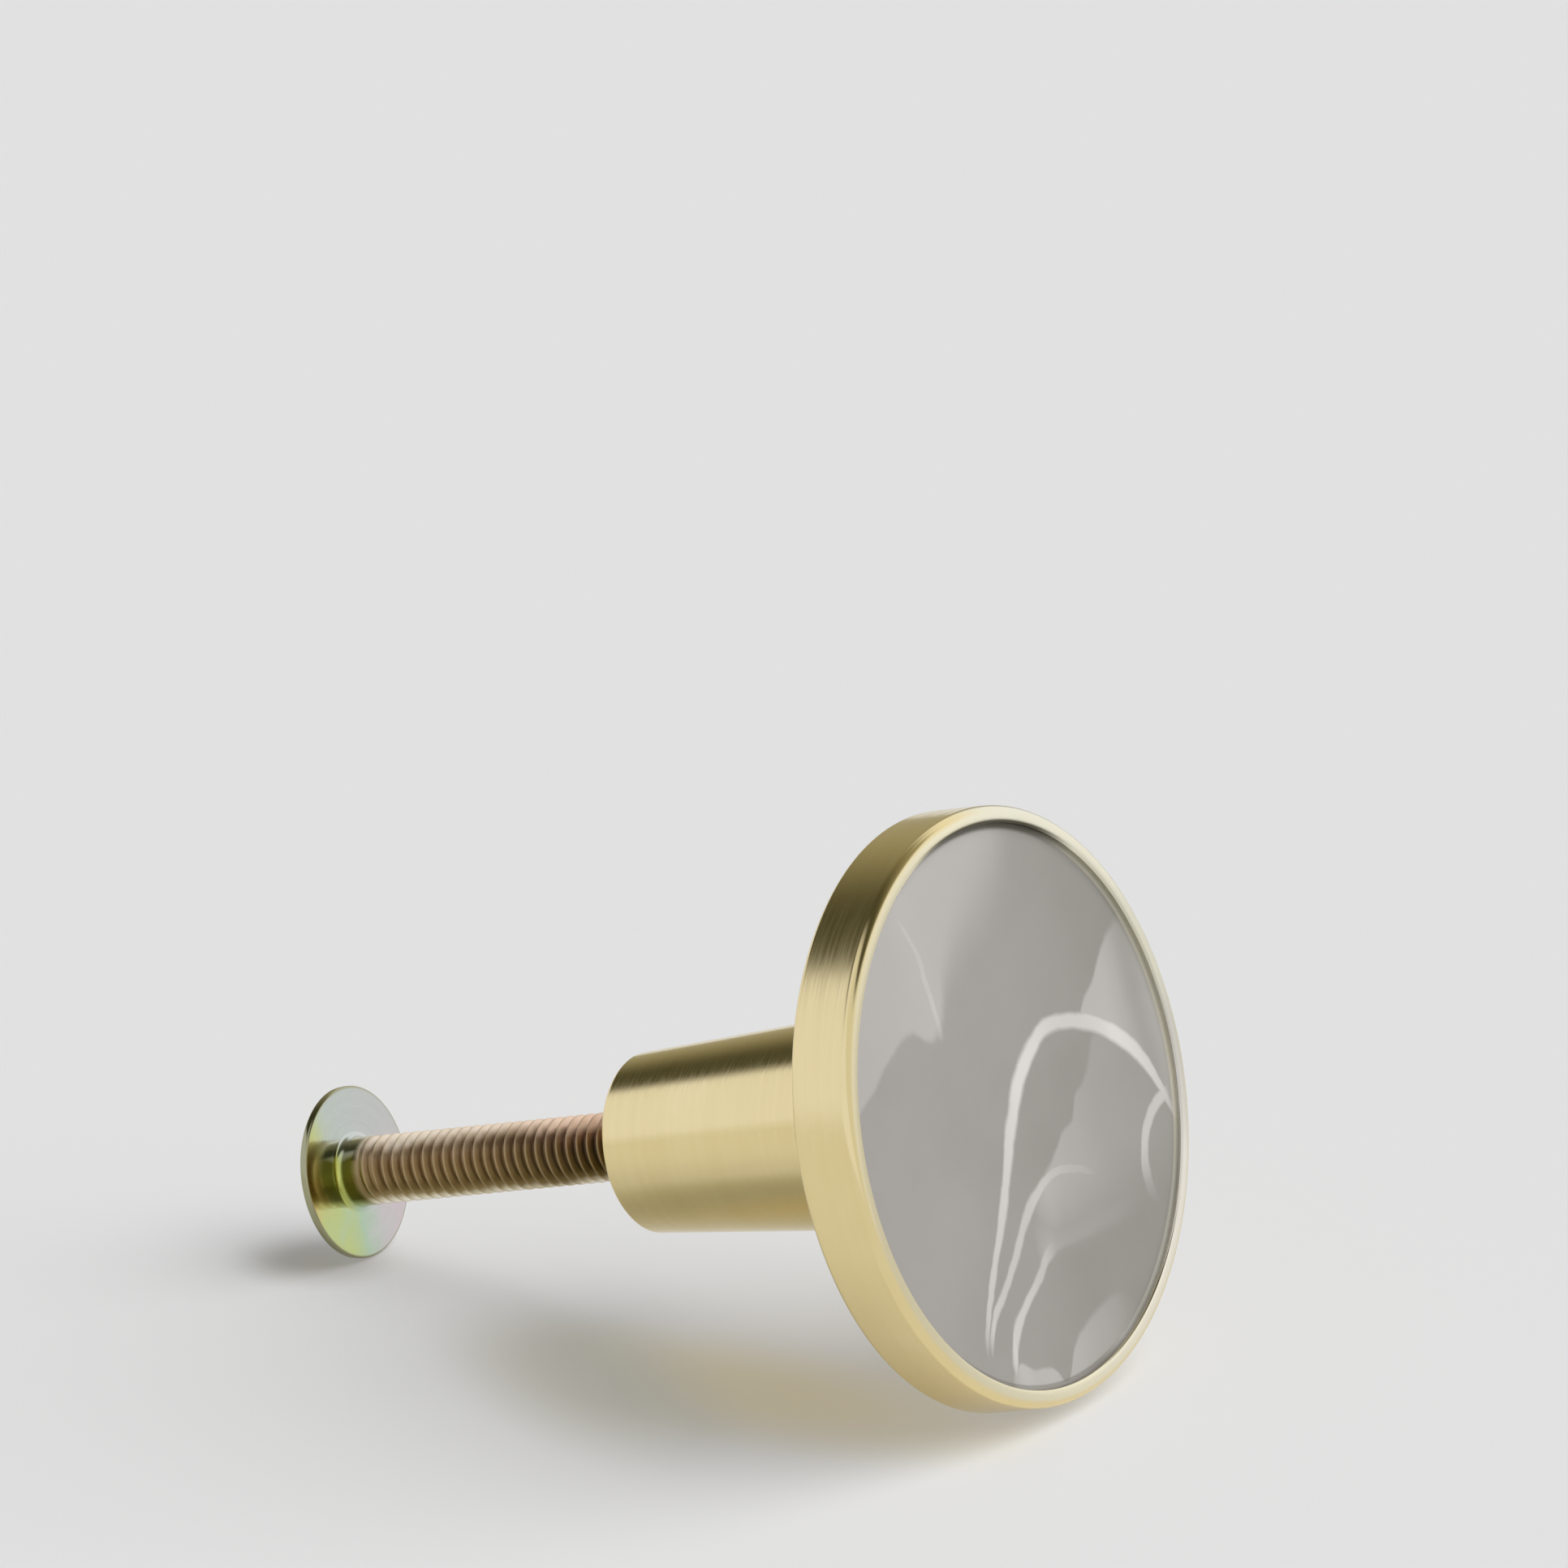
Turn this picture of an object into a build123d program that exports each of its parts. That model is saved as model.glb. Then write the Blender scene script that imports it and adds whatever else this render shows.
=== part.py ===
from build123d import *
from math import radians, tan
import os

# A cabinet knob: a turned brass body with a shallow cup for a head and a tapered stem,
# a cast resin disc laid in the cup, and the machine screw that holds it to a door.
# The axis of the knob is Y. The origin is the middle of the stem's seat, the face that
# meets the door. The resin looks along -Y, and the screw stands out along +Y.
# All sizes are in millimetres.

# Resin disc and the cup that holds it
head_diameter = 33.0
rim_wall = 1.0
cup_floor = 1.4
inlay_thickness = 2.0
inlay_recess = 0.4
inlay_side_gap = 0.06

# Edges of the head and of the disc: rounds, and the small chamfers that break the rest
lip_outer_round = 0.4
lip_inner_break = 0.08
head_back_break = 0.25
inlay_face_break = 0.1
inlay_seat_break = 0.3

# Stem
stem_length = 20.9
stem_seat_diameter = 10.0
stem_root_diameter = 12.8
stem_root_fillet = 0.8
stem_seat_break = 0.25

# Screw shank (M4) and its blind hole in the stem
shank_diameter = 3.85
thread_side_gap = 0.05
door_gap = 20.25
thread_engagement = 4.75
hole_spare_depth = 7.0
hole_mouth_chamfer = 0.45
drill_point_angle = 118.0
shank_tip_chamfer = 0.5
shank_head_fillet = 0.35

# Screw head, a low dome with a cross recess
screw_head_diameter = 9.65
screw_head_edge = 0.4
screw_head_dome = 1.7
screw_head_break = 0.1
recess_span = 4.4
recess_wing_width = 1.15
recess_depth = 2.0
recess_flank_angle = 5.0
recess_tip_diameter = 1.7

# Places along the axis
seat = 0.0
head_back = seat - stem_length
pocket_floor = head_back - cup_floor
inlay_face = pocket_floor - inlay_thickness
head_front = inlay_face - inlay_recess
shank_tip = seat - thread_engagement
hole_end = shank_tip - hole_spare_depth
screw_head_seat = seat + door_gap
screw_head_rim = screw_head_seat + screw_head_edge
screw_head_top = screw_head_rim + screw_head_dome

# Radii shared by pieces that fit one another
head_radius = head_diameter / 2
pocket_radius = head_radius - rim_wall
inlay_radius = pocket_radius - inlay_side_gap
shank_radius = shank_diameter / 2
hole_radius = shank_radius + thread_side_gap
hole_point = hole_radius / tan(radians(drill_point_angle / 2))

os.makedirs("parts", exist_ok=True)


def round_edges(turned_piece, place, tolerance=0.001):
    """The circles of a turned piece at one place along its axis, the smallest first."""
    circles = turned_piece.edges().filter_by(GeomType.CIRCLE)
    circles = circles.filter_by_position(Axis.Y, place - tolerance, place + tolerance)
    return circles.sort_by(SortBy.RADIUS)


# Knob body: one turning of brass, cup and stem together.
# Profiles of the turned pieces are drawn with Y along the sketch and the radius up it.
with BuildPart() as knob_body:
    with BuildSketch(Plane.YZ):
        with BuildLine():
            Polyline(
                (pocket_floor, 0),
                (pocket_floor, pocket_radius),
                (head_front, pocket_radius),
                (head_front, head_radius),
                (head_back, head_radius),
                (head_back, stem_root_diameter / 2),
                (seat, stem_seat_diameter / 2),
                (seat, 0),
                close=True,
            )
        make_face()
    revolve(axis=Axis.Y)

    # Edges of the lip, of the back of the head, and of the stem's foot and seat
    lip_inner, lip_outer = round_edges(knob_body, head_front)
    stem_root, head_back_edge = round_edges(knob_body, head_back)
    seat_edge = round_edges(knob_body, seat)
    fillet(lip_outer, radius=lip_outer_round)
    fillet(stem_root, radius=stem_root_fillet)
    chamfer(lip_inner, length=lip_inner_break)
    chamfer(head_back_edge, length=head_back_break)
    chamfer(seat_edge, length=stem_seat_break)

    # Blind hole for the screw, with a chamfered mouth and the drill's point at its end
    with BuildSketch(Plane.YZ):
        with BuildLine():
            Polyline(
                (seat, 0),
                (seat, hole_radius + hole_mouth_chamfer),
                (seat - hole_mouth_chamfer, hole_radius),
                (hole_end, hole_radius),
                (hole_end - hole_point, 0),
                close=True,
            )
        make_face()
    revolve(axis=Axis.Y, mode=Mode.SUBTRACT)
knob_body.part.label = "knob_body"
export_step(knob_body.part, "parts/knob_body.step")

# Resin disc: seated on the floor of the cup, its face a little below the lip
with BuildPart() as resin_inlay:
    with BuildSketch(Plane.XZ.offset(-pocket_floor)):
        Circle(inlay_radius)
    extrude(amount=inlay_thickness)
    face_edge = round_edges(resin_inlay, inlay_face)
    glued_edge = round_edges(resin_inlay, pocket_floor)
    chamfer(face_edge, length=inlay_face_break)
    chamfer(glued_edge, length=inlay_seat_break)
resin_inlay.part.label = "resin_inlay"
export_step(resin_inlay.part, "parts/resin_inlay.step")

# Cross recess of the screw: two tapered slots, trimmed to the cone of the driver's point
with BuildPart() as driver_recess:
    with BuildSketch(Plane.XZ.offset(-screw_head_top)):
        with PolarLocations(0, 2, angular_range=180):
            Rectangle(recess_span, recess_wing_width)
    extrude(amount=recess_depth, taper=recess_flank_angle)
    with BuildSketch(Plane.YZ):
        with BuildLine():
            Polyline(
                (screw_head_top, 0),
                (screw_head_top, recess_span / 2),
                (screw_head_top - recess_depth, recess_tip_diameter / 2),
                (screw_head_top - recess_depth, 0),
                close=True,
            )
        make_face()
    revolve(axis=Axis.Y, mode=Mode.INTERSECT)

# Mounting screw: shank and domed head, as it is held in the first turns of the stem's thread
with BuildPart() as mounting_screw:
    with BuildSketch(Plane.YZ):
        with BuildLine():
            Polyline(
                (screw_head_top, 0),
                (shank_tip, 0),
                (shank_tip, shank_radius - shank_tip_chamfer),
                (shank_tip + shank_tip_chamfer, shank_radius),
                (screw_head_seat, shank_radius),
                (screw_head_seat, screw_head_diameter / 2),
                (screw_head_rim, screw_head_diameter / 2),
            )
            TangentArc(
                (screw_head_top, 0),
                (screw_head_rim, screw_head_diameter / 2),
                tangent=(0, 1),
            )
        make_face()
    revolve(axis=Axis.Y)

    shank_foot, seat_rim = round_edges(mounting_screw, screw_head_seat)
    dome_rim = round_edges(mounting_screw, screw_head_rim)
    fillet(shank_foot, radius=shank_head_fillet)
    chamfer([seat_rim, *dome_rim], length=screw_head_break)
    add(driver_recess.part, mode=Mode.SUBTRACT)
mounting_screw.part.label = "mounting_screw"
export_step(mounting_screw.part, "parts/mounting_screw.step")
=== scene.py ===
"""A turned brass cabinet knob with a marbled resin face, and the machine screw that fixes it to a door.

The knob lies on a pale floor, on the edge of its head and on the edge of the screw's head. Its axis
stays along Y, as in the CAD frame, so it is the floor that leans. Shapes are in metres, and the
materials work in millimetres.
"""

from math import atan2, ceil, cos, pi, radians, sin, tan

import bmesh
import bpy
from mathutils import Matrix, Vector


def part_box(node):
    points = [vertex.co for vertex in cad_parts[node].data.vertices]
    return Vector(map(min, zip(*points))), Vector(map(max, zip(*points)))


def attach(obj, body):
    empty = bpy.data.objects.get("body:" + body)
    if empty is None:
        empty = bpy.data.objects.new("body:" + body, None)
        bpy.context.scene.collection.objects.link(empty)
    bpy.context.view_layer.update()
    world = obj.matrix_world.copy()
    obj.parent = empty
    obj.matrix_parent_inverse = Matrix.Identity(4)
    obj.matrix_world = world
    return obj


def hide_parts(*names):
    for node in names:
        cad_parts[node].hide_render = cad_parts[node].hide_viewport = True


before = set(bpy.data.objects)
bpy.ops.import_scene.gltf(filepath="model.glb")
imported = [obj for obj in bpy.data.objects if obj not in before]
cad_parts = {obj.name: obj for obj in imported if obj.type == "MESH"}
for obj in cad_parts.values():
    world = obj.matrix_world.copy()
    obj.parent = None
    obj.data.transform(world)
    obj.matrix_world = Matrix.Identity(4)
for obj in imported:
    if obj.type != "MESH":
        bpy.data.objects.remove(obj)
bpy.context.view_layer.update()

mm = 0.001

# Places and radii that the CAD nodes give
body_low, body_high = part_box("knob_body")
disc_low, disc_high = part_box("resin_inlay")
screw_low, screw_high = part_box("mounting_screw")
head_radius = body_high.x
head_front = body_low.y
seat = body_high.y
disc_face = disc_low.y
pocket_floor = disc_high.y
screw_head_radius = screw_high.x
shank_tip = screw_low.y

# Turned body
rim_wall = 1.0 * mm
cup_floor = 1.4 * mm
stem_seat_radius = 5.0 * mm
stem_root_radius = 6.4 * mm
hole_radius = 1.975 * mm
hole_spare_depth = 7.0 * mm
hole_mouth_chamfer = 0.45 * mm
drill_point_angle = radians(118)
lip_inner_round = 0.1 * mm
lip_outer_round = 0.5 * mm
head_back_round = 0.25 * mm
stem_root_fillet = 0.8 * mm
stem_seat_round = 0.25 * mm
head_back = pocket_floor + cup_floor
pocket_radius = head_radius - rim_wall

# Resin disc
resin_climb = 0.22 * mm
brim_height = 1.05 * resin_climb
brim_width = 0.03 * mm
disc_wall_gap = 0.01 * mm
disc_seat_round = 0.3 * mm

# Machine screw: M4, right-hand
shank_radius = 1.925 * mm
thread_pitch = 0.7 * mm
thread_depth = 0.4 * mm
thread_fade = 0.9 * mm
neck_length = 1.25 * mm
shank_tip_chamfer = 0.5 * mm
neck_fillet = 0.35 * mm
door_gap = 20.25 * mm
screw_head_edge = 0.4 * mm
screw_head_dome = 1.7 * mm
screw_head_round = 0.12 * mm
recess_span = 4.4 * mm
recess_wing_width = 1.15 * mm
recess_depth = 2.0 * mm
recess_flank_angle = radians(5)
recess_tip_width = 1.7 * mm
recess_overcut = 0.2 * mm
screw_head_seat = seat + door_gap
screw_head_rim = screw_head_seat + screw_head_edge
screw_head_top = screw_head_rim + screw_head_dome
thread_end = screw_head_seat - neck_length

# How finely the turned pieces are divided, and what counts as a corner, as one point and as the axis
body_segments = 256
screw_segments = 96
round_steps = 6
dome_steps = 12
sharp_corner = radians(35)
weld_distance = 0.0005 * mm
axis_distance = 0.001 * mm


# Meshes of the turned pieces

def rounded_outline(corners):
    """The outline through corners (place along the axis, radius, rounding), with its corners rounded."""
    outline = []
    for index, (place, radius, rounding) in enumerate(corners):
        corner = Vector((place, radius))
        if not rounding:
            outline.append(corner)
            continue
        before = (Vector(corners[index - 1][:2]) - corner).normalized()
        after = (Vector(corners[index + 1][:2]) - corner).normalized()
        half_angle = before.angle(after) / 2
        centre = corner + (before + after).normalized() * rounding / sin(half_angle)
        first = (corner + before * rounding / tan(half_angle) - centre).normalized()
        last = (corner + after * rounding / tan(half_angle) - centre).normalized()
        for step in range(round_steps + 1):
            outline.append(centre + first.slerp(last, step / round_steps) * rounding)
    return outline


def ring_point(angle, place, radius):
    """A point of a turned piece. The angle goes from Z towards X, right-handed about the Y axis."""
    return Vector((radius * sin(angle), place, radius * cos(angle)))


def turn(mesh_maker, outline, segments):
    """Turns an outline about the Y axis. Where the outline meets the axis the surface closes in a point."""
    rings = []
    for place, radius in outline:
        count = segments if radius > axis_distance else 1
        angles = [2 * pi * index / segments for index in range(count)]
        rings.append([mesh_maker.verts.new(ring_point(angle, place, radius)) for angle in angles])
    for ring, next_ring in zip(rings, rings[1:]):
        for index in range(segments):
            corners = [
                ring[index % len(ring)],
                next_ring[index % len(next_ring)],
                next_ring[(index + 1) % len(next_ring)],
                ring[(index + 1) % len(ring)],
            ]
            mesh_maker.faces.new(dict.fromkeys(corners))


def closed_mesh(mesh_maker, name):
    """The mesh of a closed surface, with its faces looking outwards."""
    bmesh.ops.recalc_face_normals(mesh_maker, faces=mesh_maker.faces)
    mesh = bpy.data.meshes.new(name)
    mesh_maker.to_mesh(mesh)
    mesh_maker.free()
    return mesh


def turned_mesh(mesh_maker, name):
    """The mesh of a turned piece, smooth apart from its true corners."""
    mesh = closed_mesh(mesh_maker, name)
    mesh.shade_smooth()
    mesh.set_sharp_from_angle(angle=sharp_corner)
    return mesh


def place_piece(name, mesh, material, node):
    """Puts a finished piece in the scene, in the place of its CAD node."""
    mesh.materials.clear()
    mesh.materials.append(material)
    piece = bpy.data.objects.new(name, mesh)
    bpy.context.scene.collection.objects.link(piece)
    normals = piece.modifiers.new("flat_faces_stay_flat", "WEIGHTED_NORMAL")
    normals.keep_sharp = True
    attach(piece, "root")
    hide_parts(node)


def turned_body_mesh():
    """The brass body: cup, lip, tapered stem and the blind hole for the screw."""
    hole_end = shank_tip - hole_spare_depth
    hole_point = hole_end - hole_radius / tan(drill_point_angle / 2)
    outline = rounded_outline([
        (pocket_floor, 0, 0),
        (pocket_floor, pocket_radius, 0),
        (head_front, pocket_radius, lip_inner_round),
        (head_front, head_radius, lip_outer_round),
        (head_back, head_radius, head_back_round),
        (head_back, stem_root_radius, stem_root_fillet),
        (seat, stem_seat_radius, stem_seat_round),
        (seat, hole_radius + hole_mouth_chamfer, 0),
        (seat - hole_mouth_chamfer, hole_radius, 0),
        (hole_end, hole_radius, 0),
        (hole_point, 0, 0),
    ])
    mesh_maker = bmesh.new()
    turn(mesh_maker, outline, body_segments)
    return turned_mesh(mesh_maker, "turned_body")


def resin_disc_mesh():
    """The cast disc, close against the wall of the cup, which the resin climbs a little as it sets."""
    cast_radius = pocket_radius - disc_wall_gap
    climb_radius = cast_radius - brim_width
    brim = disc_face - brim_height
    outline = rounded_outline([
        (disc_face, 0, 0),
        (disc_face, climb_radius, resin_climb),
        (brim, climb_radius, 0),
        (brim, cast_radius, 0),
        (pocket_floor, cast_radius, disc_seat_round),
        (pocket_floor, 0, 0),
    ])
    mesh_maker = bmesh.new()
    turn(mesh_maker, outline, body_segments)
    return turned_mesh(mesh_maker, "resin_disc")


# One turn of the thread: share of the pitch, and height as a share of the thread's depth
thread_form = (
    (0.00, 0.0), (0.11, 0.0), (0.15, 0.06), (0.42, 0.94), (0.46, 1.0),
    (0.54, 1.0), (0.58, 0.94), (0.85, 0.06), (0.89, 0.0),
)


def thread_radius(place, height):
    """Radius of the thread at a place along the shank.

    The thread starts at the chamfer of the tip and runs out at the neck.
    """
    fade = min(1, max(0, (thread_end - place) / thread_fade))
    thread = shank_radius - thread_depth * (1 - height) * fade
    return min(thread, shank_radius - shank_tip_chamfer + (place - shank_tip))


def cut_thread(mesh_maker):
    """The threaded shank. Its rows follow the helix, and are squared off at the tip and at the neck."""
    turns = ceil((thread_end - shank_tip) / thread_pitch) + 1
    rows = [(share + count, height) for count in range(-1, turns) for share, height in thread_form]
    columns = []
    for index in range(screw_segments + 1):
        angle = 2 * pi * index / screw_segments
        column = []
        for share, height in rows:
            place = shank_tip + thread_pitch * (share + index / screw_segments)
            place = min(thread_end, max(shank_tip, place))
            radius = thread_radius(place, height)
            column.append(mesh_maker.verts.new(ring_point(angle, place, radius)))
        columns.append(column)
    for column, next_column in zip(columns, columns[1:]):
        for row in range(len(rows) - 1):
            corners = (column[row], column[row + 1], next_column[row + 1], next_column[row])
            mesh_maker.faces.new(corners)


def driver_wing_mesh(quarter_turn):
    """One wing of the cross recess, a slot that narrows towards the driver's point."""
    turn_about_axis = Matrix.Rotation(quarter_turn, 4, "Y")
    narrowing = 2 * recess_depth * tan(recess_flank_angle)
    widening = 2 * recess_overcut * tan(recess_flank_angle)
    sections = (
        (screw_head_top + recess_overcut, recess_span + 2 * recess_overcut, recess_wing_width + widening),
        (screw_head_top - recess_depth, recess_tip_width, recess_wing_width - narrowing),
    )
    mesh_maker = bmesh.new()
    for place, span, width in sections:
        for side_x, side_z in ((-1, -1), (1, -1), (1, 1), (-1, 1)):
            corner = Vector((side_x * span / 2, place, side_z * width / 2))
            mesh_maker.verts.new(turn_about_axis @ corner)
    bmesh.ops.convex_hull(mesh_maker, input=mesh_maker.verts)
    return closed_mesh(mesh_maker, "driver_wing")


def cut_recess(mesh):
    """The mesh with the cross recess cut into the screw's head."""
    blank = bpy.data.objects.new("screw_blank", mesh)
    bpy.context.scene.collection.objects.link(blank)
    wings = []
    for quarter_turn in (0, pi / 2):
        wing = bpy.data.objects.new("driver_wing", driver_wing_mesh(quarter_turn))
        bpy.context.scene.collection.objects.link(wing)
        cut = blank.modifiers.new("driver_wing", "BOOLEAN")
        cut.operation = "DIFFERENCE"
        cut.solver = "EXACT"
        cut.object = wing
        wings.append(wing)
    depsgraph = bpy.context.evaluated_depsgraph_get()
    cut_mesh = bpy.data.meshes.new_from_object(blank.evaluated_get(depsgraph))
    for tool in [blank, *wings]:
        bpy.data.objects.remove(tool)
    return cut_mesh


def machine_screw_mesh():
    """The screw: thread, plain neck, and a low domed head with its cross recess."""
    dome_radius = (screw_head_radius ** 2 + screw_head_dome ** 2) / (2 * screw_head_dome)
    dome_centre = screw_head_top - dome_radius
    edge_angle = atan2(screw_head_radius, screw_head_rim - dome_centre)
    corners = [
        (thread_end, shank_radius, 0),
        (screw_head_seat, shank_radius, neck_fillet),
        (screw_head_seat, screw_head_radius, screw_head_round),
        (screw_head_rim, screw_head_radius, screw_head_round),
    ]
    for step in range(1, dome_steps + 1):
        angle = edge_angle * (1 - step / dome_steps)
        corners.append((dome_centre + dome_radius * cos(angle), dome_radius * sin(angle), 0))
    mesh_maker = bmesh.new()
    turn(mesh_maker, rounded_outline(corners), screw_segments)
    cut_thread(mesh_maker)
    tip_radius = shank_radius - shank_tip_chamfer
    turn(mesh_maker, [(shank_tip, 0), (shank_tip, tip_radius)], screw_segments)
    bmesh.ops.remove_doubles(mesh_maker, verts=mesh_maker.verts, dist=weld_distance)
    bmesh.ops.dissolve_degenerate(mesh_maker, edges=mesh_maker.edges, dist=weld_distance)
    mesh = cut_recess(turned_mesh(mesh_maker, "screw_blank"))
    mesh.name = "machine_screw"
    mesh.set_sharp_from_angle(angle=sharp_corner)
    return mesh


# Nodes of the materials.
# A ramp is written as the two values that it runs between, with its results there if they aren't 0 and 1.
rising = (0.0, 1.0)
falling = (1.0, 0.0)


def display_colour(red, green, blue):
    """A colour as it is seen on a display, 0 to 255, as the linear colour that a shader takes."""
    channels = []
    for value in (red / 255, green / 255, blue / 255):
        channels.append(value / 12.92 if value <= 0.04045 else ((value + 0.055) / 1.055) ** 2.4)
    return (*channels, 1.0)


def grey(level):
    """A neutral colour of one level."""
    return (level, level, level, 1.0)


def set_input(tree, socket, value):
    """Gives an input a value, or links it to the output of another node."""
    if isinstance(value, bpy.types.NodeSocket):
        tree.links.new(value, socket)
    else:
        socket.default_value = value


def add_node(tree, kind, inputs=None, **settings):
    """Adds a node with its settings and inputs."""
    node = tree.nodes.new(kind)
    for name, value in settings.items():
        setattr(node, name, value)
    for name, value in (inputs or {}).items():
        set_input(tree, node.inputs[name], value)
    return node


def calculate(tree, operation, *values, clamp=False):
    """A calculation with numbers."""
    node = add_node(tree, "ShaderNodeMath", dict(enumerate(values)), operation=operation, use_clamp=clamp)
    return node.outputs[0]


def product(tree, *values):
    """Several numbers multiplied with one another."""
    result = values[0]
    for value in values[1:]:
        result = calculate(tree, "MULTIPLY", result, value)
    return result


def largest(tree, *values):
    """The largest of several numbers."""
    result = values[0]
    for value in values[1:]:
        result = calculate(tree, "MAXIMUM", result, value)
    return result


def combine_vectors(tree, operation, *vectors):
    """A calculation with vectors that gives a vector."""
    inputs = dict(enumerate(vectors))
    return add_node(tree, "ShaderNodeVectorMath", inputs, operation=operation).outputs["Vector"]


def measure(tree, operation, *vectors):
    """A calculation with vectors that gives a number."""
    inputs = dict(enumerate(vectors))
    return add_node(tree, "ShaderNodeVectorMath", inputs, operation=operation).outputs["Value"]


def scaled(tree, vector, scale):
    """A vector made longer or shorter."""
    inputs = {0: vector, "Scale": scale}
    return add_node(tree, "ShaderNodeVectorMath", inputs, operation="SCALE").outputs["Vector"]


def split(tree, vector):
    """The parts X, Y and Z of a vector."""
    return add_node(tree, "ShaderNodeSeparateXYZ", {0: vector}).outputs


def joined(tree, **parts):
    """The vector with the parts X, Y and Z that are given."""
    return add_node(tree, "ShaderNodeCombineXYZ", parts).outputs[0]


def ramp(tree, value, low, high, to_low=0.0, to_high=1.0, smooth=True):
    """A value taken from one range to another, held at its ends."""
    inputs = {"Value": value, "From Min": low, "From Max": high, "To Min": to_low, "To Max": to_high}
    kind = "SMOOTHSTEP" if smooth else "LINEAR"
    return add_node(tree, "ShaderNodeMapRange", inputs, interpolation_type=kind).outputs["Result"]


def fade(tree, value, edge, offsets, results=rising):
    """A ramp between two offsets, in millimetres, from an edge of the part, which is in metres."""
    start, end = offsets
    return ramp(tree, value, edge / mm + start, edge / mm + end, *results)


def blend_colours(tree, factor, first, second):
    """A colour between two others."""
    node = add_node(tree, "ShaderNodeMix", {"Factor": factor}, data_type="RGBA")
    first_colour, second_colour = node.inputs[6], node.inputs[7]
    set_input(tree, first_colour, first)
    set_input(tree, second_colour, second)
    return node.outputs[2]


def laid_over(tree, share, under, colour):
    """A colour with a share of another over it, which is given as it is seen on a display."""
    return blend_colours(tree, share, under, display_colour(*colour))


def colour_ramp(tree, value, stops):
    """A colour that runs through stops (place from 0 to 1, colour on a display)."""
    node = add_node(tree, "ShaderNodeValToRGB", {"Fac": value})
    for position, _ in stops[2:]:
        node.color_ramp.elements.new(position)
    for element, (position, colour) in zip(node.color_ramp.elements, stops):
        element.position = position
        element.color = display_colour(*colour)
    return node.outputs["Color"]


def noise(tree, vector, scale, detail=2.0, roughness=0.5):
    """Smooth noise between 0 and 1."""
    inputs = {"Vector": vector, "Scale": scale, "Detail": detail, "Roughness": roughness}
    return add_node(tree, "ShaderNodeTexNoise", inputs).outputs["Fac"]


def millimetres(tree):
    """The place on the part, in millimetres."""
    return scaled(tree, add_node(tree, "ShaderNodeTexCoord").outputs["Object"], 1 / mm)


def across_axis(tree, parts):
    """What of a place lies across the knob's axis, Y."""
    return joined(tree, X=parts["X"], Y=parts["Z"])


def from_axis(tree, parts):
    """The distance of a place from the knob's axis."""
    return measure(tree, "LENGTH", across_axis(tree, parts))


def smooth_curve(tree, value, points):
    """A smooth curve through points (value, result)."""
    node = add_node(tree, "ShaderNodeFloatCurve", {"Value": value})
    node.mapping.use_clip = False
    curve = node.mapping.curves[0]
    for place in points[2:]:
        curve.points.new(*place)
    for point, place in zip(curve.points, points):
        point.location = place
    node.mapping.update()
    return node.outputs["Value"]


def new_group(name, inputs, outputs):
    """An empty node group with the sockets that it names."""
    group = bpy.data.node_groups.new(name, "ShaderNodeTree")
    for socket, kind in inputs.items():
        group.interface.new_socket(socket, in_out="INPUT", socket_type=kind)
    for socket, kind in outputs.items():
        group.interface.new_socket(socket, in_out="OUTPUT", socket_type=kind)
    return group, group.nodes.new("NodeGroupInput"), group.nodes.new("NodeGroupOutput")


def use_group(tree, group, **inputs):
    """Places a node group in a material and gives its outputs."""
    return add_node(tree, "ShaderNodeGroup", inputs, node_tree=group).outputs


# Where most of the noise lies, and the centre of noise that has three channels
noise_middle = (0.3, 0.7)
noise_centre = (0.5, 0.5, 0.5)

# Tool marks: how they drift on the way round, and the scale of the bands that they form
drift_scale = 3.0
drift_reach = 0.35
band_scale = 0.2


def turned_grain_group():
    """Fine tool marks that run round the Y axis, broken up a little on the way round."""
    group, given, result = new_group(
        "turned_grain",
        {"Place": "NodeSocketVector", "Fineness": "NodeSocketFloat"},
        {"Marks": "NodeSocketFloat", "Bands": "NodeSocketFloat"},
    )
    fineness = given.outputs["Fineness"]
    parts = split(group, given.outputs["Place"])
    way_round = combine_vectors(group, "NORMALIZE", across_axis(group, parts))
    drift = noise(group, way_round, drift_scale, detail=1.0)
    streak = calculate(group, "MULTIPLY", drift, drift_reach)
    lathe = joined(group, X=from_axis(group, parts), Y=parts["Y"], Z=streak)
    group.links.new(noise(group, lathe, fineness, detail=3.0), result.inputs["Marks"])
    group.links.new(noise(group, scaled(group, lathe, band_scale), fineness), result.inputs["Bands"])
    return group


def cloud_group():
    """Soft uneven clouds, for colour that varies over a surface."""
    group, given, result = new_group(
        "clouds",
        {"Place": "NodeSocketVector", "Scale": "NodeSocketFloat"},
        {"Cloud": "NodeSocketFloat"},
    )
    cloud = noise(group, given.outputs["Place"], given.outputs["Scale"], detail=3.0, roughness=0.55)
    group.links.new(ramp(group, cloud, *noise_middle), result.inputs["Cloud"])
    return group


turned_grain = turned_grain_group()
clouds = cloud_group()


def new_material(name, **settings):
    """A material and its main shader, with the settings that are the same all over."""
    material = bpy.data.materials.new(name)
    material.use_nodes = True
    shader = material.node_tree.nodes["Principled BSDF"]
    for socket, value in settings.items():
        shader.inputs[socket.replace("_", " ").title().replace("Ior", "IOR")].default_value = value
    return material, material.node_tree, shader


mark_depth = 0.004 * mm


def engrave(tree, shader, marks, strength):
    """Cuts fine marks into a surface."""
    inputs = {"Height": marks, "Strength": strength, "Distance": mark_depth}
    bump = add_node(tree, "ShaderNodeBump", inputs)
    tree.links.new(bump.outputs["Normal"], shader.inputs["Normal"])


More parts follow.
